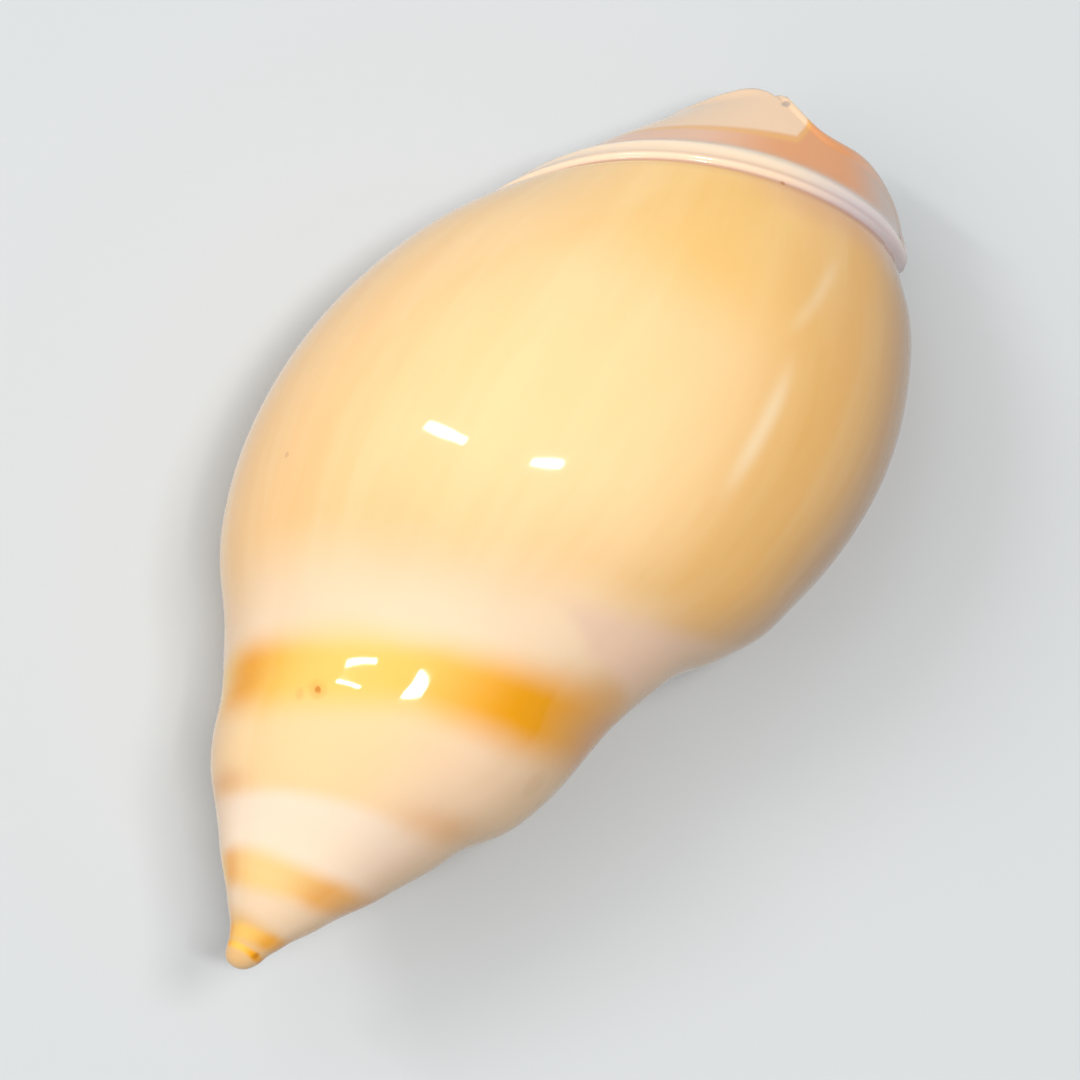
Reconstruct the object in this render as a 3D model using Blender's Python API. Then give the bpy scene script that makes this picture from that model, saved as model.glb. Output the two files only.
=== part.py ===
"""Ancilla shell, one solid that grew as one piece.

The shell is a tube coiled round an axis, and callus has smoothed over the joins between its
turns. Every point of it has a turn and a depth. The turn is 0 at the edge of the outer lip and
grows by 1 for each time round, back towards the older shell. The depth is measured along the
axis, from behind the apex towards the front end. Four flat grids are rolled up over those two
numbers and stitched along their edges: the outside, the hollow behind the mouth, the rounded
edge of the mouth, and the end of the central pillar. Beneath, the callus and the lip are a
little flattened where the shell rests.

Seen from above, as it rests: front end towards +Y, lip towards +X, mouth down.
"""
import math

import bmesh
import bpy
import numpy as np
from mathutils import Matrix

MM = 0.001

# Driving dimensions of the last whorl, in metres
BODY_RADIUS = 20.0 * MM
WIDEST_DEPTH = 39.9 * MM
BACK_DEPTH = 7.46 * MM
FRONT_DEPTH = 59.4 * MM

# How a whorl changes from one turn to the next older one
WHORL_RATIO = 1.704
FRONT_RATIO = 1.161
WHORL_COUNT = 6

# How the last turn departs from that rule at the lip, as shares of the size
LATE_RADIUS = -0.058
LATE_WIDEST = 0.108
LATE_BACK = 1.19
LATE_FRONT = 0.193

# How full a whorl's profile is behind and ahead of its widest place
BACK_POWER = 2.16
FRONT_POWER = 1.97

# Callus that fills the seam between two whorls, as a share of the depth there
SEAM_FILL = 0.0825
SMALLEST_FILL = 0.09 * MM

# Apex
APEX_DEPTH = 0.5 * MM
TIP_RADIUS = 1.0 * MM
TIP_FILL = 0.45 * MM
TIP_HEIGHT = 1.0 * MM

# Central pillar
PILLAR_RADIUS = 2.1 * MM
PILLAR_FULL_DEPTH = 28.0 * MM
PILLAR_FILL = 2.6 * MM
PILLAR_DOME = 0.9 * MM
LEAST_PILLAR = 0.02

# Small swellings and dips: turn, depth, reach in turns and in depth, and height
SWELLINGS = (
    (0.61, 2.6 * MM, 0.16, 1.8 * MM, -0.28 * MM),
    (0.08, 1.6 * MM, 0.16, 1.0 * MM, 0.12 * MM),
    (0.60, 9.2 * MM, 0.16, 3.0 * MM, 0.40 * MM),
    (0.61, 17.4 * MM, 0.16, 2.2 * MM, -0.45 * MM),
    (0.07, 12.6 * MM, 0.13, 1.5 * MM, -0.50 * MM),
    (0.08, 23.4 * MM, 0.13, 1.8 * MM, 0.35 * MM),
    (0.08, 27.2 * MM, 0.13, 1.3 * MM, -0.42 * MM),
    (0.08, 31.8 * MM, 0.13, 1.8 * MM, 0.25 * MM),
    (0.50, 47.5 * MM, 0.12, 3.6 * MM, -0.50 * MM),
    (0.08, 54.9 * MM, 0.10, 1.9 * MM, -0.70 * MM),
)

# Wall at the lip and deeper in
LIP_WALL = 0.9 * MM
INNER_WALL = 1.3 * MM
WALL_GROWS_OVER = 0.15

# Place of the lip round the axis, in degrees from the right side towards the back of the shell
LIP_PLACE = -30.0

# Front edge: its turn, and its depth. The dip at the third point is the notch
FRONT_EDGE = (
    (0.00, 57.7 * MM),
    (0.145, 57.7 * MM),
    (0.215, 57.15 * MM),
    (0.285, 58.6 * MM),
    (0.50, 54.9 * MM),
    (0.72, 55.2 * MM),
    (1.15, 56.8 * MM),
    (1.42, 57.9 * MM),
)

# The front corner of the lip is rounded off over this many turns, by this much at the lip
LIP_CORNER_TURN = 0.17
LIP_CORNER_DROP = 3.8 * MM

# Fine groove that winds round the front, and the raised band and ridge ahead of it
GROOVE_FIRST_DEPTH = 37.2 * MM
GROOVE_TRAVEL = 18.7 * MM
GROOVE_MIDDLE_TURN = 0.472
GROOVE_SPREAD = 0.125
GROOVE_CUT = 0.22 * MM
GROOVE_WIDTH = 0.30 * MM
BAND_HEIGHT = 0.22 * MM
RIDGE_AHEAD = 0.36 * MM
RIDGE_SPREADS = 3.83 * MM
RIDGE_HEIGHT = 0.22 * MM
RIDGE_WIDTH = 0.40 * MM
BAND_STARTS = 0.5
BANDS_END_TURN = 0.9
BANDS_FADE_TURN = 0.15
LEAST_BANDS = 1.2 * MM

# Folds that wind up the pillar inside the mouth
FOLD_PITCH = 1.5 * MM
FOLD_HEIGHT = 0.13 * MM
FOLD_CLIMB = 7.0 * MM
FOLD_FIRST_DEPTH = 44.0 * MM
FOLD_FADE_DEPTH = 4.5 * MM
FOLDS_START_TURN = 0.85
FOLDS_FADE_TURN = 0.15

# Towards the front the hollow closes where it gets narrower than this
NARROWEST_HOLLOW = 1.1 * MM

# The hollow ends this many turns in from the lip, and narrows to a seam over its last rows
HOLLOW_TURN = 0.5
HOLLOW_END_ROWS = 4

# Depths between which the lip leaves the older turn and the mouth opens
LIP_LEAVES_AFTER = 10.5 * MM
LIP_LEAVES_BEFORE = 30.0 * MM
MOUTH_OPENS_BEFORE = 35.0 * MM
HALVINGS = 50
SEARCH_START = 0.5
SEARCH_STEPS = 400

# Steps of the four grids
ROUND_STEPS = 60
SPIRE_STEPS = 18
CORNER_STEPS = 3
BODY_STEPS = 14
BAND_STEPS = 10
EDGE_STEPS = 4
DOME_STEPS = 3
SPIRE_CROWDING = 1.3

# The rounded edge starts thin, grows over some steps, and turns from the lip to the front
EDGE_FIRST_SIZE = 0.3
EDGE_GROWS_OVER = 7
EDGE_TURNS_OVER = 4

# How the shell lies, in degrees: apex lifted, and rolled onto the lip
APEX_LIFT = 7.1
LIP_ROLL = 2.0

# Depth of the flat beneath, and how softly it begins
REST_FLAT = 0.35 * MM
REST_BLEND = 0.08 * MM

WELD = 0.001 * MM


def smooth_larger(first, second, width):
    """The larger of two radii, with the crease between them filled over a width."""
    overlap = np.maximum(width - np.abs(first - second), 0)
    return np.maximum(first, second) + overlap**2 / (4 * width)


def eased(value, places, heights):
    """A curve that is level at each of its points and eases from one to the next."""
    step = np.clip(np.searchsorted(places, value, side="right") - 1, 0, len(places) - 2)
    share = np.clip((value - places[step]) / (places[step + 1] - places[step]), 0, 1)
    share = share * share * (3 - 2 * share)
    return heights[step] + (heights[step + 1] - heights[step]) * share


def whorl_radius(turn, depth):
    """Radius of one turn of the tube, as if it stood alone on the axis."""
    shrink = WHORL_RATIO**-turn
    late = np.maximum(0, 1 - turn) ** 2
    radius = BODY_RADIUS * shrink * (1 + LATE_RADIUS * late)
    widest = WIDEST_DEPTH * shrink * (1 + LATE_WIDEST * late)
    back = BACK_DEPTH * shrink * (1 + LATE_BACK * late)
    front = FRONT_DEPTH * FRONT_RATIO**-turn * (1 + LATE_FRONT * late)
    behind = np.clip((widest - depth) / (widest - back), 0, 1) ** BACK_POWER
    ahead = np.clip((depth - widest) / (front - widest), 0, 1) ** FRONT_POWER
    return radius * (1 - np.where(depth < widest, behind, ahead))


def groove_depth(turn):
    """Depth of the fine groove, which winds from the front of the lip back to the mouth."""
    return GROOVE_FIRST_DEPTH + GROOVE_TRAVEL / (
        1 + np.exp((turn - GROOVE_MIDDLE_TURN) / GROOVE_SPREAD)
    )


def front_edge(turn):
    """Depth of the front edge at a turn."""
    places, heights = np.array(FRONT_EDGE).T
    corner = np.clip(1 - turn / LIP_CORNER_TURN, 0, 1) ** 2
    return eased(turn, places, heights) - LIP_CORNER_DROP * corner


def band_relief(turn, depth):
    """Height of the groove and of the raised band and ridge ahead of it."""
    ahead = depth - groove_depth(turn)
    ridge = RIDGE_AHEAD + RIDGE_SPREADS * turn
    groove = -GROOVE_CUT * np.exp(-((ahead / GROOVE_WIDTH) ** 2))
    rise = BAND_HEIGHT * np.clip(ahead / GROOVE_WIDTH - BAND_STARTS, 0, 1)
    fall = np.clip((ridge + RIDGE_WIDTH - ahead) / RIDGE_WIDTH, 0, 1)
    crest = RIDGE_HEIGHT * np.exp(-(((ahead - ridge) / RIDGE_WIDTH) ** 2))
    shown = np.clip((BANDS_END_TURN - turn) / BANDS_FADE_TURN, 0, 1)
    return (groove + rise * fall + crest) * shown


def fold_relief(turn, depth):
    """Height of the slanting folds on the pillar, inside the mouth."""
    shown = np.clip((turn - FOLDS_START_TURN) / FOLDS_FADE_TURN, 0, 1)
    shown = shown * np.clip((depth - FOLD_FIRST_DEPTH) / FOLD_FADE_DEPTH, 0, 1)
    wave = np.sin(math.tau * (depth + FOLD_CLIMB * (turn - 1)) / FOLD_PITCH)
    return FOLD_HEIGHT * wave * shown


def unevenness(turn, depth):
    """Height of the small swellings and dips. They are the same one whole turn further on."""
    height = 0.0
    for middle, centre, reach, spread, swell in SWELLINGS:
        around = np.sin(math.pi * (turn - middle)) / (math.pi * reach)
        height = height + swell * np.exp(-(around**2) - ((depth - centre) / spread) ** 2)
    return height


def outer_radius(turn, depth):
    """Radius of the outside of the shell, all its turns and the pillar taken together."""
    fill = np.maximum(SEAM_FILL * depth, SMALLEST_FILL)
    radius = whorl_radius(turn, depth)
    for older in range(1, WHORL_COUNT):
        radius = smooth_larger(radius, whorl_radius(turn + older, depth), fill)
    grown = np.clip(depth / PILLAR_FULL_DEPTH, LEAST_PILLAR, 1)
    radius = smooth_larger(radius, PILLAR_RADIUS * grown, PILLAR_FILL * grown)
    radius = smooth_larger(radius, TIP_RADIUS, TIP_FILL) + unevenness(turn, depth)
    tip = np.clip((depth - APEX_DEPTH) / TIP_HEIGHT, 0, 1)
    return radius * np.sqrt(1 - (1 - tip) ** 2)


def finished_radius(turn, depth):
    """Radius of the outside with the groove, bands and folds."""
    return outer_radius(turn, depth) + band_relief(turn, depth) + fold_relief(turn, depth)


def wall(turn):
    """Thickness of the wall at a turn."""
    share = np.clip(turn / WALL_GROWS_OVER, 0, 1)
    return LIP_WALL + (INNER_WALL - LIP_WALL) * share


def hollow_gap(turn, depth):
    """Clear distance between the inside of the wall and the turn within it."""
    return outer_radius(turn, depth) - wall(turn) - outer_radius(turn + 1, depth)


def crossing(rule, low, high):
    """Depth between two others at which a rule changes sign."""
    low_sign = rule(low) > 0
    for _ in range(HALVINGS):
        middle = (low + high) / 2
        if (rule(middle) > 0) == low_sign:
            low = middle
        else:
            high = middle
    return (low + high) / 2


def corner_depths():
    """Depths at which the lip leaves the older turn, and at which the mouth opens."""
    def step_at_lip(depth):
        return outer_radius(0.0, depth) - outer_radius(1.0, depth) - WELD
    leaves = crossing(step_at_lip, LIP_LEAVES_AFTER, LIP_LEAVES_BEFORE)
    opens = crossing(lambda depth: hollow_gap(0.0, depth), leaves, MOUTH_OPENS_BEFORE)
    return leaves, opens


def hollow_ends(turn):
    """Depths of the back and front ends of the hollow at a turn, and whether its front is open."""
    depths = np.linspace(leave_depth * SEARCH_START, front_edge(turn), SEARCH_STEPS)
    gaps = hollow_gap(turn, depths)
    first = np.nonzero(gaps > 0)[0][0]
    last = np.nonzero(gaps > NARROWEST_HOLLOW)[0][-1]
    back = crossing(lambda depth: hollow_gap(turn, depth), depths[first - 1], depths[first])
    return back, depths[last], bool(last == SEARCH_STEPS - 1)


def place(turn, depth, radius):
    """A point of the upright shell, with the axis along Z and the apex up."""
    angle = math.tau * turn + math.radians(LIP_PLACE)
    return np.stack([radius * math.cos(angle), radius * math.sin(angle), -depth], axis=-1)


leave_depth, open_depth = corner_depths()
leave_column = SPIRE_STEPS
open_column = leave_column + CORNER_STEPS
groove_column = open_column + BODY_STEPS
last_column = groove_column + BAND_STEPS


def outside_depths(turn):
    """Depth of each column of the outside grid at a turn."""
    spire_share = np.linspace(0, 1, SPIRE_STEPS + 1) ** SPIRE_CROWDING
    spire = APEX_DEPTH + (leave_depth - APEX_DEPTH) * spire_share
    corner = np.linspace(leave_depth, open_depth, CORNER_STEPS + 1)[1:]
    body_end = min(groove_depth(turn), front_edge(turn) - LEAST_BANDS)
    body = np.linspace(open_depth, body_end, BODY_STEPS + 1)[1:]
    bands = np.linspace(body_end, front_edge(turn), BAND_STEPS + 1)[1:]
    return np.concatenate([spire, corner, body, bands])


def outside_points():
    """The outside, once round from the lip back to the place below it."""
    rows = []
    for row in range(ROUND_STEPS + 1):
        turn = row / ROUND_STEPS
        depths = outside_depths(turn)
        rows.append(place(turn, depths, finished_radius(turn, depths)))
    points = np.array(rows)
    points[-1, :leave_column + 1] = points[0, :leave_column + 1]
    return points


def column_shares(turn):
    """How far along the hollow each of its columns lies, spaced as on the outside."""
    depths = outside_depths(turn)[open_column:]
    return (depths - depths[0]) / (depths[-1] - depths[0])


def hollow_points(outside):
    """The hollow, from the lip inwards: the wall's inner face, the back corner, the pillar."""
    outer_rows = []
    inner_rows = []
    open_rows = 0
    inner_share = column_shares(1.0)
    row_count = round(HOLLOW_TURN * ROUND_STEPS)
    for row in range(row_count + 1):
        turn = row / ROUND_STEPS
        back, front, is_open = hollow_ends(turn)
        open_rows += is_open
        depths = back + (front - back) * column_shares(turn)
        inner_front = front_edge(turn + 1) if is_open else front
        inner_depths = back + (inner_front - back) * inner_share
        radius = outer_radius(turn, depths) - wall(turn)
        inner_radius = finished_radius(turn + 1, inner_depths)
        radius[0] = inner_radius[0]
        if not is_open:
            radius[-1] = inner_radius[-1]
        outer_rows.append(place(turn, depths, radius))
        inner_rows.append(place(turn, inner_depths, inner_radius))
    outer = np.array(outer_rows)
    inner = np.array(inner_rows)
    inner[0] = outside[-1, open_column:]
    outer[0, 0] = inner[0, 0]
    middle = (outer + inner) / 2
    for row in range(row_count - HOLLOW_END_ROWS, row_count + 1):
        share = (row - row_count + HOLLOW_END_ROWS) / HOLLOW_END_ROWS
        share = 1 - math.sqrt(1 - share**2)
        outer[row] += (middle[row] - outer[row]) * share
        inner[row] += (middle[row] - inner[row]) * share
    return outer, inner, open_rows


def unit(vectors):
    """Vectors of length 1."""
    return vectors / np.linalg.norm(vectors, axis=-1, keepdims=True)


def edge_points(outside, outer, inner, open_rows):
    """The rounded edge, down the lip from where it leaves the older turn, then along the front."""
    lip_out = outside[0, leave_column:]
    lip_in = np.concatenate([outside[-1, leave_column:open_column], outer[0]])
    front_out = outside[1:open_rows + 1, -1]
    front_in = outer[1:open_rows + 1, -1]
    out = np.concatenate([lip_out, front_out])
    into = np.concatenate([lip_in, front_in])
    middle = (out + into) / 2
    half = (out - into) / 2
    lip_angle = math.radians(LIP_PLACE)
    forward = np.array([math.sin(lip_angle), -math.cos(lip_angle), 0.0])
    down = np.array([0.0, 0.0, -1.0])
    along = np.arange(len(out)) - (len(lip_out) - 1)
    share = np.clip(0.5 + along / (2 * EDGE_TURNS_OVER), 0, 1)
    direction = unit(forward * (1 - share)[:, None] + down * share[:, None])
    roundness = np.ones(len(out))
    roundness[:EDGE_GROWS_OVER] = np.linspace(EDGE_FIRST_SIZE, 1, EDGE_GROWS_OVER)
    size = np.minimum(np.linalg.norm(half, axis=-1), INNER_WALL / 2) * roundness
    rows = []
    for step in range(EDGE_STEPS + 1):
        angle = math.pi * step / EDGE_STEPS
        bulge = direction * (size * math.sin(angle))[:, None]
        rows.append(middle + half * math.cos(angle) + bulge)
    points = np.array(rows)
    points[0] = out
    points[-1] = into
    points[:, 0] = out[0]
    last_bulge = size[-1] * np.sin(math.pi * np.arange(EDGE_STEPS + 1) / EDGE_STEPS)
    return points, last_bulge


def pillar_end_points(outside, inner, edge, bulge, open_rows):
    """The domed end of the pillar, in rings from its rim to its middle."""
    rim = [outside[open_rows:, -1], inner[1:open_rows + 1, -1]]
    raised = np.zeros(len(rim[0]) + len(rim[1]) + EDGE_STEPS)
    raised[-EDGE_STEPS:] = bulge[::-1][1:]
    loop = np.concatenate([*rim, edge[::-1, -1][1:]])
    centre = (loop[:-1] + raised[:-1, None] * np.array([0, 0, 1])).mean(axis=0)
    rings = []
    for step in range(DOME_STEPS + 1):
        share = step / DOME_STEPS
        height = np.sqrt(raised**2 + (PILLAR_DOME**2 - raised**2) * share * (2 - share))
        ring = loop + (centre - loop) * share
        ring[:, 2] -= height - raised * (1 - share)
        rings.append(ring)
    return np.array(rings)


def roll_up(shape, points):
    """Add one flat grid and move each of its corners to its own point."""
    rows, columns = points.shape[:2]
    made = bmesh.ops.create_grid(shape, x_segments=rows - 1, y_segments=columns - 1, size=1)
    for corner in made["verts"]:
        row = round((corner.co.x + 1) / 2 * (rows - 1))
        column = round((corner.co.y + 1) / 2 * (columns - 1))
        corner.co = points[row, column]


def lay_down(shape):
    """Turn the upright shell onto its mouth, flatten it a little beneath and centre it."""
    turned = Matrix.Rotation(math.radians(LIP_ROLL), 4, "Y")
    turned @= Matrix.Rotation(math.radians(-APEX_LIFT), 4, "X")
    turned @= Matrix.Rotation(math.radians(90), 4, "X")
    bmesh.ops.transform(shape, matrix=turned, verts=shape.verts)
    rest = min(corner.co.z for corner in shape.verts) + REST_FLAT
    for corner in shape.verts:
        corner.co.z = smooth_larger(corner.co.z, rest, REST_BLEND)
    corners = np.array([corner.co for corner in shape.verts])
    low = corners.min(axis=0)
    centre = (low + corners.max(axis=0)) / 2
    to_origin = Matrix.Translation((-centre[0], -centre[1], -low[2]))
    bmesh.ops.transform(shape, matrix=to_origin, verts=shape.verts)


def make_shell():
    """Roll up the four grids, stitch them and lay the shell down."""
    outside = outside_points()
    outer, inner, open_rows = hollow_points(outside)
    edge, bulge = edge_points(outside, outer, inner, open_rows)
    end = pillar_end_points(outside, inner, edge, bulge, open_rows)
    hollow = np.concatenate([outer[:, ::-1], inner[:, 1:]], axis=1)

    shape = bmesh.new()
    for points in (outside, hollow, edge, end):
        roll_up(shape, points)
    bmesh.ops.remove_doubles(shape, verts=shape.verts, dist=WELD)
    lay_down(shape)
    bmesh.ops.recalc_face_normals(shape, faces=shape.faces)
    bmesh.ops.triangulate(shape, faces=shape.faces)

    mesh = bpy.data.meshes.new("shell")
    shape.to_mesh(mesh)
    shape.free()
    mesh.shade_smooth()
    return mesh


def make_material():
    """Glossy golden cream shell."""
    material = bpy.data.materials.new("shell_gloss")
    material.use_nodes = True
    surface = material.node_tree.nodes["Principled BSDF"]
    surface.inputs["Base Color"].default_value = (0.85, 0.60, 0.33, 1)
    surface.inputs["Metallic"].default_value = 0
    surface.inputs["Roughness"].default_value = 0.15
    return material


for old in list(bpy.data.objects):
    bpy.data.objects.remove(old)

collection = bpy.data.collections.new("ancilla_shell")
bpy.context.scene.collection.children.link(collection)
shell = bpy.data.objects.new("shell", make_shell())
shell.data.materials.append(make_material())
collection.objects.link(shell)
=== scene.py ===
# %% [markdown]
# # A glossy ancilla shell, made from its own growth rule
#
# A sea snail's shell is a tube coiled round an axis, and this kind is polished all over with a
# layer of callus that hides the joins between its turns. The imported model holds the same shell
# in fewer, larger faces. This lesson builds the fine surface over it, gives it its colours and
# gloss, and lights it on a pale table.

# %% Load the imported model
import math

import bpy
import numpy as np
from mathutils import Matrix, Vector


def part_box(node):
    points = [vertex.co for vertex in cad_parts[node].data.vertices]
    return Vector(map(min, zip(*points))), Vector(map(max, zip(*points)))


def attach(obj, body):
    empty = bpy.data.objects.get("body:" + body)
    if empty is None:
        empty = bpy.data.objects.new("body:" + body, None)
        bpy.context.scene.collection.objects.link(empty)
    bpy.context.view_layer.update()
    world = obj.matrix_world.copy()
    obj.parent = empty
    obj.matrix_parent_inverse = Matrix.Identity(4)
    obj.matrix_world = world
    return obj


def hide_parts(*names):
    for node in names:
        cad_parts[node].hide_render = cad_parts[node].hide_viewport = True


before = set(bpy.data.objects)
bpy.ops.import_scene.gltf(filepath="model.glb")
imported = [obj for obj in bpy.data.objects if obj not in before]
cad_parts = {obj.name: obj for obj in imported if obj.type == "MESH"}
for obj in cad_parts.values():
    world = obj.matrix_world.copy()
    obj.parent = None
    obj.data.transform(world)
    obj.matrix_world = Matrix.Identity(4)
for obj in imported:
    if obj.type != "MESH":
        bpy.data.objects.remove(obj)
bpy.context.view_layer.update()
bpy.ops.object.select_all(action="DESELECT")
MM = 0.001

# %% [markdown]
# ## The growth rule
#
# Every point of the shell has a turn and a depth. The turn is 0 at the outer lip and grows by 1
# for each time round towards the older shell. The depth runs along the axis from the apex to the
# front. One rule gives the radius of a turn standing alone, and each older turn is the same
# shape, smaller by a fixed ratio. A sculpted blob could look like this from one side, but only
# the rule gives a mouth, a pillar and a spire that agree from every side.

# %% One turn of the tube
BODY_RADIUS = 20.0 * MM
WIDEST_DEPTH = 39.9 * MM
BACK_DEPTH = 7.46 * MM
FRONT_DEPTH = 59.4 * MM
WHORL_RATIO = 1.704
FRONT_RATIO = 1.161
LATE_RADIUS, LATE_WIDEST, LATE_BACK, LATE_FRONT = -0.058, 0.108, 1.19, 0.193
BACK_POWER, FRONT_POWER = 2.16, 1.97


def whorl_radius(turn, depth):
    """Radius of one turn of the tube, as if it stood alone on the axis."""
    shrink = WHORL_RATIO**-turn
    late = np.maximum(0, 1 - turn) ** 2
    radius = BODY_RADIUS * shrink * (1 + LATE_RADIUS * late)
    widest = WIDEST_DEPTH * shrink * (1 + LATE_WIDEST * late)
    back = BACK_DEPTH * shrink * (1 + LATE_BACK * late)
    front = FRONT_DEPTH * FRONT_RATIO**-turn * (1 + LATE_FRONT * late)
    behind = np.clip((widest - depth) / (widest - back), 0, 1) ** BACK_POWER
    ahead = np.clip((depth - widest) / (front - widest), 0, 1) ** FRONT_POWER
    return radius * (1 - np.where(depth < widest, behind, ahead))


body_turn = 0.25
body_radius = float(whorl_radius(body_turn, WIDEST_DEPTH))
print("radius at the widest place in mm", round(body_radius / MM, 1))

# %% [markdown]
# ## All turns together
#
# The outside is the largest of all the turns and the central pillar. Callus fills the crease
# where two turns meet, so a smooth maximum is used in place of a plain one: within a set width
# of the crease, a little is added. On the back the shell is drawn in a little between spire and
# body. This waist hardly changes the outline, but the highlights on the orange band need it: a
# polished surface mirrors a lamp only where it slopes the right way.

# %% The outside radius
SEAM_FILL = 0.0825
SMALLEST_FILL = 0.09 * MM
WHORL_COUNT = 6
APEX_DEPTH = 0.5 * MM
TIP_RADIUS, TIP_FILL, TIP_HEIGHT = 1.0 * MM, 0.45 * MM, 1.0 * MM
PILLAR_RADIUS, PILLAR_FULL_DEPTH, PILLAR_FILL = 2.1 * MM, 28.0 * MM, 2.6 * MM
PILLAR_DOME, LEAST_PILLAR = 0.9 * MM, 0.02
# Small swellings and dips: turn, depth, reach in turns and in depth, and height
SWELLINGS = (
    (0.61, 2.6 * MM, 0.16, 1.8 * MM, -0.28 * MM),
    (0.08, 1.6 * MM, 0.16, 1.0 * MM, 0.12 * MM),
    (0.60, 9.2 * MM, 0.16, 3.0 * MM, 0.40 * MM),
    (0.61, 17.4 * MM, 0.16, 2.2 * MM, -0.45 * MM),
    (0.07, 12.6 * MM, 0.13, 1.5 * MM, -0.50 * MM),
    (0.08, 23.4 * MM, 0.13, 1.8 * MM, 0.35 * MM),
    (0.08, 27.2 * MM, 0.13, 1.3 * MM, -0.42 * MM),
    (0.08, 31.8 * MM, 0.13, 1.8 * MM, 0.25 * MM),
    (0.50, 47.5 * MM, 0.12, 3.6 * MM, -0.50 * MM),
    (0.08, 54.9 * MM, 0.10, 1.9 * MM, -0.70 * MM),
)
# The waist: where it begins, how far it reaches and how deep it is
WAIST_TURN, WAIST_SPREAD = 0.35, 0.13
WAIST_DEPTH, WAIST_CLIMB, WAIST_REACH, WAIST_DIP = 16.1 * MM, 23.0 * MM, 5.0 * MM, 0.92 * MM


def smooth_larger(first, second, width):
    """The larger of two radii, with the crease between them filled over a width."""
    overlap = np.maximum(width - np.abs(first - second), 0)
    return np.maximum(first, second) + overlap**2 / (4 * width)


def unevenness(turn, depth):
    """Height of the small swellings and dips. They are the same one whole turn further on."""
    height = 0.0
    for middle, centre, reach, spread, swell in SWELLINGS:
        around = np.sin(math.pi * (turn - middle)) / (math.pi * reach)
        height = height + swell * np.exp(-(around**2) - ((depth - centre) / spread) ** 2)
    return height


def waist(turn, depth):
    """How far the shell's back is drawn in, between the spire and the body."""
    along = np.maximum(depth - WAIST_DEPTH + (turn - WAIST_TURN) * WAIST_CLIMB, 0) / WAIST_REACH
    shown = np.exp(-(((turn - WAIST_TURN) / WAIST_SPREAD) ** 2))
    return WAIST_DIP * along**2 * np.exp(1 - along**2) * shown


def outer_radius(turn, depth):
    """Radius of the outside of the shell, all its turns and the pillar taken together."""
    fill = np.maximum(SEAM_FILL * depth, SMALLEST_FILL)
    radius = whorl_radius(turn, depth)
    for older in range(1, WHORL_COUNT):
        radius = smooth_larger(radius, whorl_radius(turn + older, depth), fill)
    grown = np.clip(depth / PILLAR_FULL_DEPTH, LEAST_PILLAR, 1)
    radius = smooth_larger(radius, PILLAR_RADIUS * grown, PILLAR_FILL * grown)
    radius = smooth_larger(radius, TIP_RADIUS, TIP_FILL) + unevenness(turn, depth)
    radius = radius - waist(turn, depth)
    tip = np.clip((depth - APEX_DEPTH) / TIP_HEIGHT, 0, 1)
    return radius * np.sqrt(1 - (1 - tip) ** 2)


# %% [markdown]
# ## The front
#
# At its front the shell ends in an open edge with a shallow notch, where the animal's breathing
# tube came out. A fine groove winds round just behind it, with a raised band and a white ridge
# ahead of the groove. The edge is a short list of turns and depths with a curve eased between
# them, and the groove is one S-shaped curve.

# %% The front edge, the groove and the folds
FRONT_EDGE = (
    (0.00, 57.7 * MM),
    (0.145, 57.7 * MM),
    (0.215, 57.15 * MM),
    (0.285, 58.6 * MM),
    (0.50, 54.9 * MM),
    (0.72, 55.2 * MM),
    (1.15, 56.8 * MM),
    (1.42, 57.9 * MM),
)
LIP_CORNER_TURN, LIP_CORNER_DROP = 0.17, 3.8 * MM
GROOVE_FIRST_DEPTH, GROOVE_TRAVEL = 37.2 * MM, 19.37 * MM
GROOVE_MIDDLE_TURN, GROOVE_SPREAD = 0.480, 0.160
GROOVE_CUT, GROOVE_WIDTH, BAND_HEIGHT = 0.22 * MM, 0.30 * MM, 0.22 * MM
RIDGE_AHEAD, RIDGE_SPREADS = 0.75 * MM, 2.0 * MM
RIDGE_HEIGHT, RIDGE_WIDTH = 0.22 * MM, 0.40 * MM
BAND_STARTS, LEAST_BANDS = 0.5, 1.2 * MM
BANDS_END_TURN, BANDS_FADE_TURN = 0.9, 0.15
FOLD_PITCH, FOLD_HEIGHT, FOLD_CLIMB = 1.5 * MM, 0.13 * MM, 7.0 * MM
FOLD_FIRST_DEPTH, FOLD_FADE_DEPTH = 44.0 * MM, 4.5 * MM
FOLDS_START_TURN, FOLDS_FADE_TURN = 0.85, 0.15


def eased(value, places, heights):
    """A curve that is level at each of its points and eases from one to the next."""
    step = np.clip(np.searchsorted(places, value, side="right") - 1, 0, len(places) - 2)
    share = np.clip((value - places[step]) / (places[step + 1] - places[step]), 0, 1)
    share = share * share * (3 - 2 * share)
    return heights[step] + (heights[step + 1] - heights[step]) * share


def front_edge(turn):
    """Depth of the front edge at a turn."""
    places, heights = np.array(FRONT_EDGE).T
    corner = np.clip(1 - turn / LIP_CORNER_TURN, 0, 1) ** 2
    return eased(turn, places, heights) - LIP_CORNER_DROP * corner


def groove_depth(turn):
    """Depth of the fine groove, which winds from the front of the lip back to the mouth."""
    return GROOVE_FIRST_DEPTH + GROOVE_TRAVEL / (
        1 + np.exp((turn - GROOVE_MIDDLE_TURN) / GROOVE_SPREAD)
    )


def ridge_ahead(turn):
    """How far ahead of the groove the white ridge runs."""
    return RIDGE_AHEAD + RIDGE_SPREADS * turn


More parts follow.
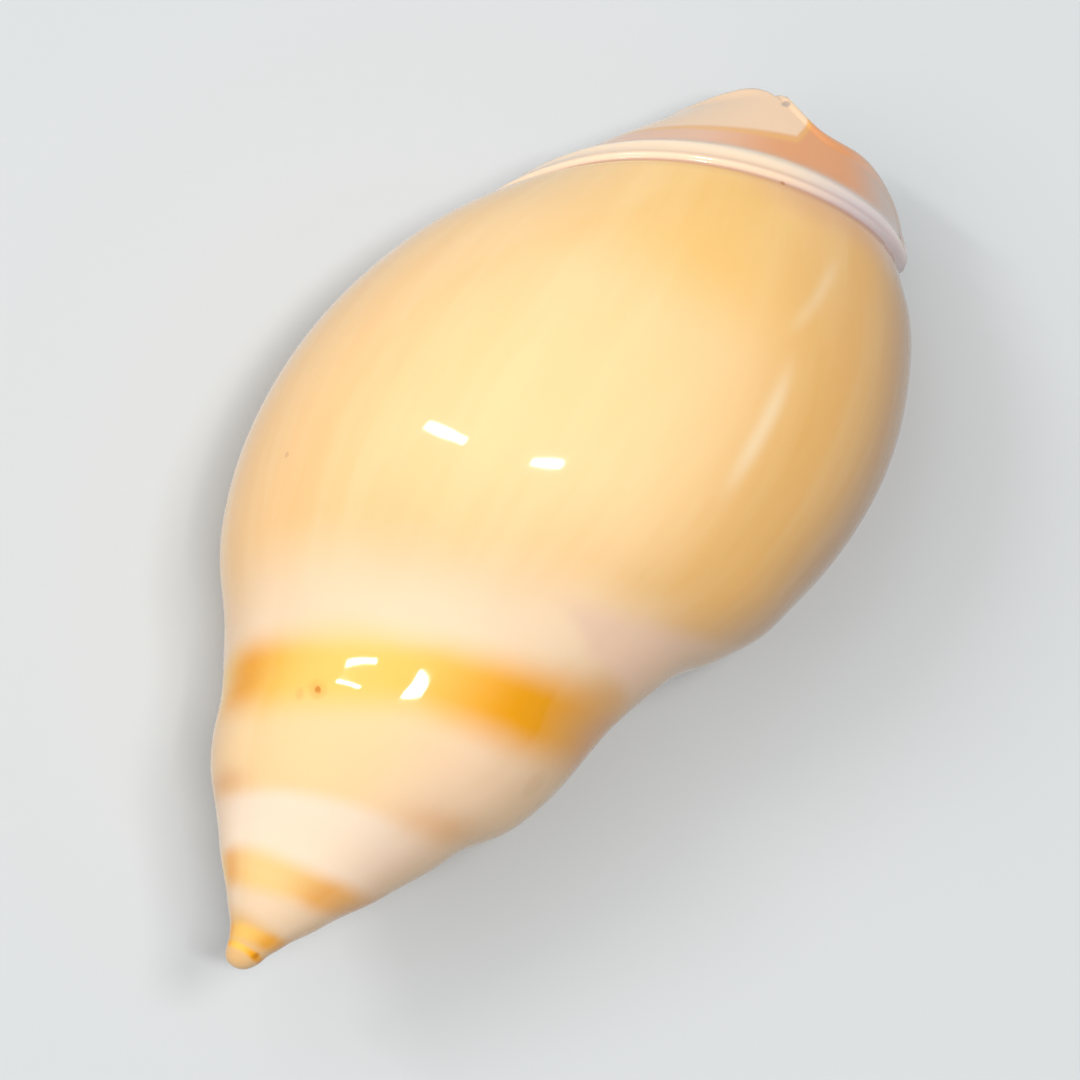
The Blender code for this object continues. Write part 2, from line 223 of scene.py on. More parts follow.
def band_relief(turn, depth):
    """Height of the groove and of the raised band and ridge ahead of it."""
    ahead = depth - groove_depth(turn)
    ridge = ridge_ahead(turn)
    groove = -GROOVE_CUT * np.exp(-((ahead / GROOVE_WIDTH) ** 2))
    rise = BAND_HEIGHT * np.clip(ahead / GROOVE_WIDTH - BAND_STARTS, 0, 1)
    fall = np.clip((ridge + RIDGE_WIDTH - ahead) / RIDGE_WIDTH, 0, 1)
    crest = RIDGE_HEIGHT * np.exp(-(((ahead - ridge) / RIDGE_WIDTH) ** 2))
    shown = np.clip((BANDS_END_TURN - turn) / BANDS_FADE_TURN, 0, 1)
    return (groove + rise * fall + crest) * shown


def fold_relief(turn, depth):
    """Height of the slanting folds on the pillar, inside the mouth."""
    shown = np.clip((turn - FOLDS_START_TURN) / FOLDS_FADE_TURN, 0, 1)
    shown = shown * np.clip((depth - FOLD_FIRST_DEPTH) / FOLD_FADE_DEPTH, 0, 1)
    wave = np.sin(math.tau * (depth + FOLD_CLIMB * (turn - 1)) / FOLD_PITCH)
    return FOLD_HEIGHT * wave * shown


def finished_radius(turn, depth):
    """Radius of the outside with the groove, bands and folds."""
    return outer_radius(turn, depth) + band_relief(turn, depth) + fold_relief(turn, depth)


print("groove depth at the back of the shell in mm", round(float(groove_depth(1 / 3)) / MM, 1))

# %% [markdown]
# ## Where the mouth begins
#
# The lip leaves the older turn at one depth, and the hollow opens a little further on, once the
# wall's thickness fits between them. Both depths are found by halving an interval until the
# rule changes sign within it, because no formula gives them directly.

# %% Wall, hollow and their corners
LIP_WALL, INNER_WALL, WALL_GROWS_OVER = 0.9 * MM, 1.3 * MM, 0.15
NARROWEST_HOLLOW = 1.1 * MM
LIP_LEAVES_AFTER, LIP_LEAVES_BEFORE, MOUTH_OPENS_BEFORE = 10.5 * MM, 30 * MM, 35 * MM
HALVINGS, SEARCH_START, SEARCH_STEPS = 50, 0.5, 400
WELD = 0.001 * MM


def wall(turn):
    """Thickness of the wall at a turn."""
    share = np.clip(turn / WALL_GROWS_OVER, 0, 1)
    return LIP_WALL + (INNER_WALL - LIP_WALL) * share


def hollow_gap(turn, depth):
    """Clear distance between the inside of the wall and the turn within it."""
    return outer_radius(turn, depth) - wall(turn) - outer_radius(turn + 1, depth)


def crossing(rule, low, high):
    """Depth between two others at which a rule changes sign."""
    low_sign = rule(low) > 0
    for _ in range(HALVINGS):
        middle = (low + high) / 2
        if (rule(middle) > 0) == low_sign:
            low = middle
        else:
            high = middle
    return (low + high) / 2


def step_at_lip(depth):
    """How far the lip stands out from the older turn below it."""
    return outer_radius(0.0, depth) - outer_radius(1.0, depth) - WELD


leave_depth = crossing(step_at_lip, LIP_LEAVES_AFTER, LIP_LEAVES_BEFORE)
open_depth = crossing(lambda depth: hollow_gap(0.0, depth), leave_depth, MOUTH_OPENS_BEFORE)


def hollow_ends(turn):
    """Depths of the back and front ends of the hollow, and whether its front is open."""
    depths = np.linspace(leave_depth * SEARCH_START, front_edge(turn), SEARCH_STEPS)
    gaps = hollow_gap(turn, depths)
    first = np.nonzero(gaps > 0)[0][0]
    last = np.nonzero(gaps > NARROWEST_HOLLOW)[0][-1]
    back = crossing(lambda depth: hollow_gap(turn, depth), depths[first - 1], depths[first])
    return back, depths[last], bool(last == SEARCH_STEPS - 1)


print("lip leaves at", round(leave_depth / MM, 2), "mouth opens at", round(open_depth / MM, 2))

# %% [markdown]
# ## Four flat grids
#
# Four grids are rolled up over turn and depth and stitched along their edges: the outside, the
# hollow, the rounded edge of the mouth, and the domed end of the pillar. The steps are fine,
# because a glossy surface shows every facet in its highlights. They crowd towards the apex and
# towards the groove, where the form changes fastest.

# %% Depths of the outside grid
ROUND_STEPS = 200
SPIRE_STEPS, CORNER_STEPS, BODY_STEPS, BAND_STEPS = 90, 8, 70, 50
EDGE_STEPS, DOME_STEPS = 12, 10
SPIRE_CROWDING, BODY_CROWDING, BAND_CROWDING = 1.3, 1.5, 1.25
LIP_PLACE = math.radians(-30)
leave_column = SPIRE_STEPS
open_column = leave_column + CORNER_STEPS


def place(turn, depth, radius):
    """Points of the upright shell, with the axis along Z and the apex up."""
    angle = math.tau * turn + LIP_PLACE
    return np.stack([radius * np.cos(angle), radius * np.sin(angle), -depth], axis=-1)


def outside_depths(turn):
    """Depths of the outside grid at each of a column of turns."""
    spire = APEX_DEPTH + (leave_depth - APEX_DEPTH) * (
        np.linspace(0, 1, SPIRE_STEPS + 1) ** SPIRE_CROWDING
    )
    corner = np.linspace(leave_depth, open_depth, CORNER_STEPS + 1)[1:]
    older = np.broadcast_to(np.concatenate([spire, corner]), (len(turn), open_column + 1))
    body_share = 1 - (1 - np.linspace(0, 1, BODY_STEPS + 1)[1:]) ** BODY_CROWDING
    band_share = np.linspace(0, 1, BAND_STEPS + 1)[1:] ** BAND_CROWDING
    edge = front_edge(turn)
    body_end = np.minimum(groove_depth(turn), edge - LEAST_BANDS)
    body = open_depth + (body_end - open_depth) * body_share
    bands = body_end + (edge - body_end) * band_share
    return np.concatenate([older, body, bands], axis=1)


# %% [markdown]
# Each grid carries four things for each of its points: the place, the turn, the depth, and how
# far inside the mouth it is. The last three colour the shell later on.

# %% The outside and the hollow
HOLLOW_TURN, HOLLOW_END_ROWS = 0.5, 14
CALLUS_TURNS_IN = 0.12


def with_growth(points, turn, depth, inside):
    """A grid's places together with its turns, its depths and how far inside it is."""
    extra = [np.broadcast_to(value, points.shape[:2]) for value in (turn, depth, inside)]
    return np.concatenate([points, np.stack(extra, axis=-1)], axis=-1)


turns = np.linspace(0, 1, ROUND_STEPS + 1)[:, None]
depths = outside_depths(turns)
outside = with_growth(place(turns, depths, finished_radius(turns, depths)), turns, depths, 0)
outside[-1, : leave_column + 1, :3] = outside[0, : leave_column + 1, :3]


def column_shares(turn):
    """How far along the hollow each of its columns lies, spaced as on the outside."""
    along = outside_depths(np.array([[turn]]))[0, open_column:]
    return (along - along[0]) / (along[-1] - along[0])


def hollow_row(turn):
    """The wall's inner face and the pillar's face at one turn, and whether the front is open."""
    back, front, is_open = hollow_ends(turn)
    outer_depths = back + (front - back) * column_shares(turn)
    inner_front = front_edge(turn + 1) if is_open else front
    inner_depths = back + (inner_front - back) * column_shares(1.0)
    radius = outer_radius(turn, outer_depths) - wall(turn)
    inner_radius = finished_radius(turn + 1, inner_depths)
    radius[0] = inner_radius[0]
    if not is_open:
        radius[-1] = inner_radius[-1]
    pillar_side = np.clip(turn / CALLUS_TURNS_IN, 0, 1)
    outer = with_growth(place(turn, outer_depths, radius)[None], turn, outer_depths, 1)
    inner = with_growth(
        place(turn + 1, inner_depths, inner_radius)[None], turn + 1, inner_depths, pillar_side
    )
    return outer[0], inner[0], is_open


hollow_turns = np.arange(round(HOLLOW_TURN * ROUND_STEPS) + 1) / ROUND_STEPS
hollow_rows = [hollow_row(turn) for turn in hollow_turns]
outer = np.array([row[0] for row in hollow_rows])
inner = np.array([row[1] for row in hollow_rows])
open_rows = sum(row[2] for row in hollow_rows)
inner[0] = outside[-1, open_column:]
outer[0, 0, :3] = inner[0, 0, :3]
middle = (outer[..., :3] + inner[..., :3]) / 2
narrowing = np.clip((np.arange(len(outer)) - len(outer) + 1) / HOLLOW_END_ROWS + 1, 0, 1)
narrowing = (1 - np.sqrt(1 - narrowing**2))[:, None, None]
outer[..., :3] += (middle - outer[..., :3]) * narrowing
inner[..., :3] += (middle - inner[..., :3]) * narrowing
print("rows of the hollow", len(outer), "of which open to the front", open_rows)

# %% [markdown]
# The wall's edge is rounded over, down the lip and along the front. The direction in which it
# bulges is forwards at the lip and down at the front, and it turns over near their corner.

# %% The rounded edge and the end of the pillar
EDGE_FIRST_SIZE, EDGE_GROWS_OVER = 0.3, 8.5 * MM
EDGE_TURNS_OVER = (0.5 * MM, 3.4 * MM)

lip_out = outside[0, leave_column:]
lip_in = np.concatenate([outside[-1, leave_column:open_column], outer[0]])
out = np.concatenate([lip_out, outside[1 : open_rows + 1, -1]])
into = np.concatenate([lip_in, outer[1 : open_rows + 1, -1]])
edge_middle = (out + into) / 2
edge_half = (out - into)[:, :3] / 2
steps = np.linalg.norm(np.diff(out[:, :3], axis=0), axis=1)
length = np.concatenate([[0], np.cumsum(steps)])
length -= length[len(lip_out) - 1]
down_share = np.interp(length, (-EDGE_TURNS_OVER[0], 0, EDGE_TURNS_OVER[1]), (0, 0.5, 1))[:, None]
forward = np.array([math.sin(LIP_PLACE), -math.cos(LIP_PLACE), 0.0])
direction = forward * (1 - down_share) + np.array([0, 0, -1.0]) * down_share
direction /= np.linalg.norm(direction, axis=1, keepdims=True)
size = np.minimum(np.linalg.norm(edge_half, axis=1), INNER_WALL / 2)
grown_depths = (leave_depth, open_depth + EDGE_GROWS_OVER)
size[: len(lip_out)] *= np.interp(lip_out[:, 4], grown_depths, (EDGE_FIRST_SIZE, 1))

edge_rows = []
for step in range(EDGE_STEPS + 1):
    angle = math.pi * step / EDGE_STEPS
    row = edge_middle.copy()
    row[:, :3] += edge_half * math.cos(angle) + direction * (size * math.sin(angle))[:, None]
    row[:, 3:5] = out[:, 3:5]
    row[:, 5] = step / EDGE_STEPS
    edge_rows.append(row)
edge = np.array(edge_rows)
edge[0, :, :3] = out[:, :3]
edge[-1, :, :3] = into[:, :3]
edge[:, 0, :3] = out[0, :3]

bulge = size[-1] * np.sin(math.pi * np.arange(EDGE_STEPS + 1) / EDGE_STEPS)
loop = np.concatenate([outside[open_rows:, -1], inner[1 : open_rows + 1, -1], edge[::-1, -1][1:]])
raised = np.zeros(len(loop))
raised[-EDGE_STEPS:] = bulge[::-1][1:]
rim = loop.copy()
rim[:, 2] += raised
centre = rim[:-1, :3].mean(axis=0)
pillar_rings = []
for share in np.linspace(0, 1, DOME_STEPS + 1):
    height = np.sqrt(raised**2 + (PILLAR_DOME**2 - raised**2) * share * (2 - share))
    ring = loop.copy()
    ring[:, :3] += (centre - ring[:, :3]) * share
    ring[:, 2] -= height - raised * (1 - share)
    ring[:, 5] = 0
    pillar_rings.append(ring)
pillar_end = np.array(pillar_rings)
print("edge points", len(out), "rim of the pillar's end", len(loop))

# %% [markdown]
# ## Rolling up
#
# A flat grid is added for each part and every corner is moved to its own point. The turn and
# depth go into a map on the surface, corner by corner, so that the two sides of the line where
# turn 1 meets turn 0 keep their own values. After that the four are joined and welded.

# %% Roll up the grids and weld them
DEPTH_OF_MAP = 60 * MM
TURNS_OF_MAP = 2


def roll_up(name, points):
    """Add one flat grid, move its corners to their points and store how they grew."""
    rows, columns = points.shape[:2]
    bpy.ops.object.select_all(action="DESELECT")
    bpy.ops.mesh.primitive_grid_add(x_subdivisions=rows - 1, y_subdivisions=columns - 1, size=2)
    piece = bpy.context.object
    piece.name = name
    mesh = piece.data
    flat = np.empty(len(mesh.vertices) * 3)
    mesh.vertices.foreach_get("co", flat)
    flat = flat.reshape(-1, 3)
    row = np.rint((flat[:, 0] + 1) / 2 * (rows - 1)).astype(int)
    column = np.rint((flat[:, 1] + 1) / 2 * (columns - 1)).astype(int)
    own = points[row, column]
    mesh.vertices.foreach_set("co", own[:, :3].ravel())
    corner = np.empty(len(mesh.loops), dtype=np.int32)
    mesh.loops.foreach_get("vertex_index", corner)
    own = own[corner]
    growth = mesh.uv_layers[0]
    growth.name = "growth"
    on_map = np.stack([own[:, 3] / TURNS_OF_MAP, own[:, 4] / DEPTH_OF_MAP], axis=1)
    growth.uv.foreach_set("vector", on_map.astype(np.float32).ravel())
    inside = mesh.attributes.new("inside", "FLOAT", "CORNER")
    inside.data.foreach_set("value", own[:, 5].astype(np.float32))
    return piece


hollow = np.concatenate([outer[:, ::-1], inner[:, 1:]], axis=1)
parts = [
    roll_up("outside", outside),
    roll_up("hollow", hollow),
    roll_up("edge", edge),
    roll_up("pillar_end", pillar_end),
]
bpy.ops.object.select_all(action="DESELECT")
for part in parts:
    part.select_set(True)
bpy.context.view_layer.objects.active = parts[0]
bpy.ops.object.join()
shell = bpy.context.object
shell.name = "glazed_shell"
bpy.ops.object.mode_set(mode="EDIT")
bpy.ops.mesh.select_all(action="SELECT")
bpy.ops.mesh.remove_doubles(threshold=WELD)
bpy.ops.mesh.normals_make_consistent(inside=False)
bpy.ops.object.mode_set(mode="OBJECT")
bpy.ops.object.shade_smooth()
print("shell faces", len(shell.data.polygons))

# %% [markdown]
# ## Lying down
#
# The shell has grown upright, so it is laid on its mouth: a quarter turn, the apex lifted a
# little and a slight roll onto the lip. The callus beneath is flattened by a third of a
# millimetre where it rests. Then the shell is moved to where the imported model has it, and
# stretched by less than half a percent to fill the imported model's box.

# %% Lay the shell down
APEX_LIFT, LIP_ROLL = 7.1, 2.0
REST_FLAT, REST_BLEND = 0.35 * MM, 0.08 * MM

lay_down = Matrix.Rotation(math.radians(LIP_ROLL), 4, "Y")
lay_down @= Matrix.Rotation(math.radians(-APEX_LIFT), 4, "X")
lay_down @= Matrix.Rotation(math.radians(90), 4, "X")
turned = np.array(lay_down.to_3x3())

corners = np.empty(len(shell.data.vertices) * 3)
shell.data.vertices.foreach_get("co", corners)
corners = corners.reshape(-1, 3) @ turned.T
rest_height = corners[:, 2].min() + REST_FLAT
corners[:, 2] = smooth_larger(corners[:, 2], rest_height, REST_BLEND)
low, high = corners.min(axis=0), corners.max(axis=0)
box_low, box_high = (np.array(end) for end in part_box("shell"))
fit = (box_high - box_low) / (high - low)
shift = box_low - low * fit
corners = corners * fit + shift
shell.data.vertices.foreach_set("co", corners.ravel())
shell.data.update()
print("shell size in mm", np.round((high - low) / MM, 2), "moved by", np.round(shift / MM, 2))


def on_table(turn, depth):
    """Where a point of the outside lies once the shell is on the table."""
    radius = float(finished_radius(np.float64(turn), np.float64(depth)))
    return turned @ place(turn, depth, radius) * fit + shift


# %% [markdown]
# ## Sums for the colours
#
# The colours come from sums over turn and depth, counted in millimetres from here on. A small
# class wraps one output of a node, so a sum is written as it would be on paper.

# %% A socket that can be used in sums
class Wire:
    """One output of a node, which can be used in sums like a number."""

    def __init__(self, tree, socket):
        self.tree = tree
        self.socket = socket

    def node(self, kind, values, output=0, **settings):
        """Add a node, set or wire its inputs, and give back one of its outputs."""
        made = self.tree.nodes.new(kind)
        for name, value in settings.items():
            setattr(made, name, value)
        for name, value in values.items():
            if isinstance(value, Wire):
                self.tree.links.new(value.socket, made.inputs[name])
            else:
                made.inputs[name].default_value = value
        return Wire(self.tree, made.outputs[output])

    def sum(self, operation, first, second=0.0):
        """A Math node."""
        return self.node("ShaderNodeMath", {0: first, 1: second}, operation=operation)

    def __add__(self, other):
        return self.sum("ADD", self, other)

    def __sub__(self, other):
        return self.sum("SUBTRACT", self, other)

    def __mul__(self, other):
        return self.sum("MULTIPLY", self, other)

    def __truediv__(self, other):
        return self.sum("DIVIDE", self, other)

    def __rsub__(self, other):
        return self.sum("SUBTRACT", other, self)

    def __rtruediv__(self, other):
        return self.sum("DIVIDE", other, self)

    __radd__ = __add__
    __rmul__ = __mul__

    def exp(self):
        return self.sum("EXPONENT", self)

    def larger(self, other):
        return self.sum("MAXIMUM", self, other)

    def between(self, low, high, most=1.0):
        """0 below low, most above high, eased between them. It falls if low is the larger."""
        ends = {"Value": self, "From Min": low, "From Max": high, "To Max": most}
        return self.node("ShaderNodeMapRange", ends, interpolation_type="SMOOTHSTEP")

    def hump(self, centre, width):
        """1 at the centre, falling to both sides over a width."""
        parts = {0: self, 1: 1 / width, 2: -centre / width}
        away = self.node("ShaderNodeMath", parts, operation="MULTIPLY_ADD")
        return self.sum("POWER", 1 / math.e, away * away)

    def over(self, below, above):
        """One colour laid over another, where this mask is 1."""
        parts = {"Factor": self, 6: below, 7: above}
        return self.node("ShaderNodeMix", parts, output=2, data_type="RGBA", clamp_factor=True)


def paint(red, green, blue):
    """A colour named by its usual 0 to 255 values."""
    shares = [value / 255 for value in (red, green, blue)]
    linear = [s / 12.92 if s < 0.04045 else ((s + 0.055) / 1.055) ** 2.4 for s in shares]
    return (*linear, 1.0)


# %% [markdown]
# ## The shell's material
#
# Aragonite under a glassy callus is dense, pale and slightly translucent. So the material is a
# pale colour with a little light passing under its surface, and it is nearly as smooth as glass.
# A separate clear coat would also shine, but its reflections wouldn't follow the faint waves
# that are added further on.

# %% Start the material
MOTTLE_ROUGHNESS = 0.55

glaze = bpy.data.materials.new("glazed_callus")
glaze.use_nodes = True
tree = glaze.node_tree
surface = tree.nodes["Principled BSDF"]
growth_map = tree.nodes.new("ShaderNodeUVMap")
growth_map.uv_map = "growth"
growth = Wire(tree, growth_map.outputs[0])
turn = growth.node("ShaderNodeSeparateXYZ", {0: growth}) * TURNS_OF_MAP
depth = growth.node("ShaderNodeSeparateXYZ", {0: growth}, output=1) * (DEPTH_OF_MAP / MM)
inside_node = tree.nodes.new("ShaderNodeAttribute")
inside_node.attribute_name = "inside"
inside = Wire(tree, inside_node.outputs["Fac"])
place_node = tree.nodes.new("ShaderNodeTexCoord")
here = Wire(tree, place_node.outputs["Object"])


def mottle(scale, detail, where=here):
    """Soft random variation between 0 and 1."""
    values = {"Vector": where, "Scale": scale, "Detail": detail, "Roughness": MOTTLE_ROUGHNESS}
    return here.node("ShaderNodeTexNoise", values)


def wander(scale, detail, reach):
    """A soft random shift to both sides of 0, half its reach to each side."""
    return (mottle(scale, detail) - 0.5) * reach


def layered(colour, layers):
    """A colour with others laid over it one by one, each where its own mask is 1."""
    for mask, tone in layers:
        colour = mask.over(colour, tone if isinstance(tone, Wire) else paint(*tone))
    return colour


# %% [markdown]
# ### The orange band
#
# An orange band climbs the spire in a spiral. A short list gives its depth after so many turns,
# counted on and on. At any turn the band is met once for each time round, so the same list is
# read at the turn, one turn older, and so on. Its width and strength change slowly, so nothing
# jumps where turn 1 meets turn 0.

# %% Where the orange band runs
BAND_DEPTHS = (
    (0.00, 22.9),
    (0.15, 20.9),
    (0.24, 19.45),
    (0.31, 18.2),
    (0.38, 16.4),
    (0.45, 14.9),
    (0.55, 13.6),
    (1.15, 6.3),
    (1.30, 5.75),
    (1.50, 4.95),
    (2.20, 2.45),
    (2.50, 2.0),
    (3.20, 1.4),
)
BAND_TIMES_ROUND = 4
BAND_HALF_WIDTH, BAND_SHRINKS = 2.5, 0.8
BAND_STRENGTHS = (0.8, 0.62, 0.62, 0.85, 0.85)
BAND_OUTER, BAND_INNER = 1.55, 0.28
NEXT_STRENGTH_FROM, BAND_FADES_IN = 0.6, 0.06
# Where the band is wider: turn, reach in turns, and the share that it grows by
WIDER_PLACES = ((0.43, 0.09, 0.25), (0.22, 0.06, 0.15))


def band_depth(older):
    """Depth of the orange band here, a number of whole turns older."""
    pairs = list(zip(BAND_DEPTHS, BAND_DEPTHS[1:]))
    pairs = [pair for pair in pairs if pair[0][0] < older + 1 and pair[1][0] > older]
    found = pairs[0][0][1]
    counted_on = turn + older
    for (near, first), (far, second) in pairs:
        ends = {"From Min": near, "From Max": far, "To Max": second - first}
        found = counted_on.node("ShaderNodeMapRange", {"Value": counted_on, **ends}) + found
    return found


spire_depth = depth + wander(160, 2, 0.7)
band_at = [band_depth(older) for older in range(BAND_TIMES_ROUND)]
to_next = turn.between(NEXT_STRENGTH_FROM, 1.0)
wider = 1.0
for middle_turn, reach, growing in WIDER_PLACES:
    wider = turn.hump(middle_turn, reach) * growing + wider
half_width = (turn * -BAND_SHRINKS).exp() * BAND_HALF_WIDTH * wider
band_mask = 0.0
for older, centre_depth in enumerate(band_at):
    away = (spire_depth - centre_depth) / (half_width * math.exp(-BAND_SHRINKS * older))
    now, then = BAND_STRENGTHS[older : older + 2]
    strength = to_next * (then - now) + now
    if older == 0:
        strength = strength * turn.between(0.0, BAND_FADES_IN)
    shown = away.sum("ABSOLUTE", away).between(BAND_OUTER, BAND_INNER)
    band_mask = shown * strength + band_mask
print("depth of the band at turn 0.31 in mm", dict(BAND_DEPTHS)[0.31])

# %% [markdown]
# ### The spire
#
# Between two rounds of the orange band the spire is cream on its older side and peach on its
# younger side, with a soft tan line where they meet. The oldest turns are darker. Towards the
# lip every tone turns into one darker tan, on both sides of the line where turn 1 meets turn 0;
# this darkening towards the lip, in the orange band too, is partly painted shade.

# %% Tones of the spire
from_lip = turn.sum("PINGPONG", turn, 0.5)
between_bands = (spire_depth - band_at[1]) / (band_at[0] - band_at[1])
cream = turn.between(0.12, 0.30).over(paint(243, 214, 188), paint(252, 227, 200))
peach = turn.between(0.22, 0.34).over(paint(248, 214, 178), paint(251, 213, 158))
peach_side = between_bands.between(0.33, 0.43)
tan_line = turn.between(0.30, 0.16, 0.85) + turn.between(0.43, 0.52, 0.85)
tan_line = between_bands.hump(0.43, 0.075) * tan_line
old_tone = depth.between(2.6, 3.6).over(paint(230, 184, 122), paint(240, 210, 174))
old_part = depth.between(5.4, 4.4)
pale = turn.between(0.24, 0.14).over(paint(252, 222, 186), paint(226, 168, 98))
ahead_of_band = (spire_depth - band_at[0]).between(0.6, 2.0)
clouds = mottle(95, 2).between(0.35, 0.7, 0.22)
left_side = turn.between(0.46, 0.58, 0.45)
# Towards the lip the spire darkens to one tan: partly so the tones meet across turn 1 and turn 0,
# partly painted shade.
lip_side_shade = from_lip.between(0.24, 0.07)
# The orange is deepest at two places and paler between them: that paler middle is partly the
# band's own colour, partly painted sheen.
vivid = turn.hump(0.22, 0.085) + turn.hump(0.505, 0.05) + from_lip.hump(0.0, 0.12)
orange = vivid.over(paint(252, 202, 88), paint(242, 163, 0))
# Darker orange towards the lip: partly painted shade.
orange = from_lip.between(0.22, 0.10).over(orange, paint(204, 132, 24))
callus_from = depth - turn.between(0.84, 1.0) * 8.5
mouth_callus = turn.between(0.70, 0.82) * callus_from.between(16.0, 19.5, 0.9)
SPIRE_LAYERS = (
    (peach_side, peach),
    (tan_line, (232, 172, 110)),
    (old_part, old_tone),
    (ahead_of_band, pale),
    (clouds, (248, 205, 166)),
    (left_side, (230, 180, 124)),
    (lip_side_shade, (206, 164, 108)),
    (band_mask * (1 + vivid * 0.25), orange),
    (mouth_callus, (248, 226, 198)),
)
spire = layered(cream, SPIRE_LAYERS)
print("tones of the spire", len(SPIRE_LAYERS) + 1)

# %% [markdown]
# ### The body
#
# The last turn is golden. It begins along a soft slanting border and ends at the callus round
# the mouth. Its colour is darker towards the lip, partly as painted shade, and pinker away from
# it, and faint streaks follow the lip's old places. A pinkish patch lies across the border.

# %% Golden body
BORDER_DEPTH, BORDER_CLIMB, BORDER_LEAST = 32.6, 27.0, 17.0
PATCH_BACK, PATCH_FRONT, PATCH_TIP_TURN = 23.7, 25.2, 0.275
PATCH_BACK_SLOPE, PATCH_FRONT_SLOPE, PATCH_BEND_TURN = 20.0, 30.0, 0.22
DARK_BAND_DEPTH, DARK_BAND_CLIMB, DARK_BAND_TURN = 54.6, 17.0, 0.14

gold_from = (BORDER_DEPTH - turn * BORDER_CLIMB).larger(BORDER_LEAST) + wander(120, 2, 1.6)
callus_edge = turn + wander(90, 2, 0.05)
past_border = depth - gold_from
gold_mask = past_border.between(-2.2, 2.4) * callus_edge.between(0.83, 0.74)
front_glow = depth.between(40.0, 46.0, 0.7) * turn.hump(0.30, 0.09)
by_border = past_border.between(8.0, 1.0, 0.8)
streaky = here.node("ShaderNodeCombineXYZ", {0: turn * 40.0, 1: depth * 0.06})
streaks = mottle(1.0, 3, streaky)
grains = streaks.between(0.75, 0.35, 0.20) * mottle(70, 3)
first_streak = turn.hump(0.232, 0.005) * depth.between(33.0, 37.5, 0.65)
first_streak = first_streak * depth.between(44.0, 39.5)
second_streak = (turn + depth * 0.0043).hump(0.429, 0.005) * depth.between(43.5, 46.0, 0.325)
second_streak = second_streak * depth.between(51.0, 48.5)
dark_band = depth - (DARK_BAND_DEPTH - (turn - DARK_BAND_TURN) * DARK_BAND_CLIMB)
dark_band = dark_band.between(-2.4, -0.3) * turn.between(0.32, 0.24, 0.6)
GOLD_LAYERS = (
    (front_glow, (248, 198, 108)),
    (by_border, (249, 206, 150)),
    (turn.between(0.28, 0.18), (238, 182, 98)),
    # The darkest tone, nearest the lip, is partly the lip's own deeper gold and partly painted
    # shade.
    (turn.between(0.19, 0.11), (176, 124, 58)),
    (turn.between(0.38, 0.54, 0.85), (247, 197, 132)),
    (streaks.between(0.35, 0.75, 0.14), (254, 230, 182)),
    (grains, (238, 180, 104)),
    (first_streak + second_streak, (255, 230, 190)),
    (dark_band, (226, 172, 130)),
)
gold = layered(paint(252, 213, 156), GOLD_LAYERS)

patch_back = depth - (PATCH_BACK + (turn - PATCH_BEND_TURN).larger(0.0) * PATCH_BACK_SLOPE)
patch_front = (PATCH_FRONT + (PATCH_TIP_TURN - turn) * PATCH_FRONT_SLOPE) - depth
patch = patch_back.between(-0.4, 0.8) * patch_front.between(-0.5, 1.4)
patch = patch * turn.between(0.05, 0.14) * turn.between(0.29, 0.24, 0.7)
# The patch darkens towards the lip: partly painted shade.
patch_tone_and_shade = turn.between(0.19, 0.10).over(paint(240, 202, 176), paint(196, 156, 112))
body = layered(spire, ((gold_mask, gold), (patch, patch_tone_and_shade)))
print("tones of the body", len(GOLD_LAYERS) + 1)

# %% [markdown]
# ### The front
#
# Ahead of the groove come a lilac band, a white ridge, a tan band and a pale tip with a
# yellowish line. All of them fade round the far side. The places use the same groove curve as
# the form, so colour and relief stay together.

# %% Bands of the front
TIP_LINE_DEPTH, TIP_LINE_CLIMB, TIP_LINE_TURN, NOTCH_CLIMB = 56.2, 22.6, 0.25, 60.0

groove_at = GROOVE_TRAVEL / MM / (1 + ((turn - GROOVE_MIDDLE_TURN) / GROOVE_SPREAD).exp())
ahead = depth - (groove_at + GROOVE_FIRST_DEPTH / MM)
past_ridge = ahead - (RIDGE_AHEAD / MM + turn * (RIDGE_SPREADS / MM))
tip_line_at = TIP_LINE_DEPTH - (turn - TIP_LINE_TURN) * TIP_LINE_CLIMB
past_line = depth - (tip_line_at + (TIP_LINE_TURN - turn).larger(0.0) * NOTCH_CLIMB)
tan = turn.between(0.36, 0.26).over(paint(236, 190, 160), paint(233, 163, 110))
lilac = turn.between(0.28, 0.18).over(paint(249, 222, 192), paint(222, 210, 211))
ridge_white = turn.between(0.28, 0.16).over(paint(249, 227, 201), paint(240, 223, 217))
FRONT_LAYERS = (
    (turn.between(0.20, 0.12), (207, 184, 170)),
    (past_line.between(-0.1, 0.35), (247, 212, 176)),
    (past_line.hump(-0.1, 0.22) * 0.7, (240, 184, 104)),
    (past_ridge.between(0.45, 0.1), lilac),
    (past_ridge.hump(0.0, 0.30), ridge_white),
)
front = layered(tan, FRONT_LAYERS)
front = turn.between(0.66, 0.50).over(paint(236, 206, 182), front)
ahead_mask = ahead.between(-0.15, 0.12) * turn.between(0.93, 0.80)
groove_line = ahead.hump(0.0, 0.17) * turn.between(0.80, 0.40, 0.7)
second_line = ahead.hump(0.55, 0.16) * turn.between(0.60, 0.30, 0.315)
dark_lines = groove_line + second_line
body = layered(body, ((ahead_mask, front), (dark_lines, (196, 146, 126))))
print("tones of the front", len(FRONT_LAYERS) + 1)
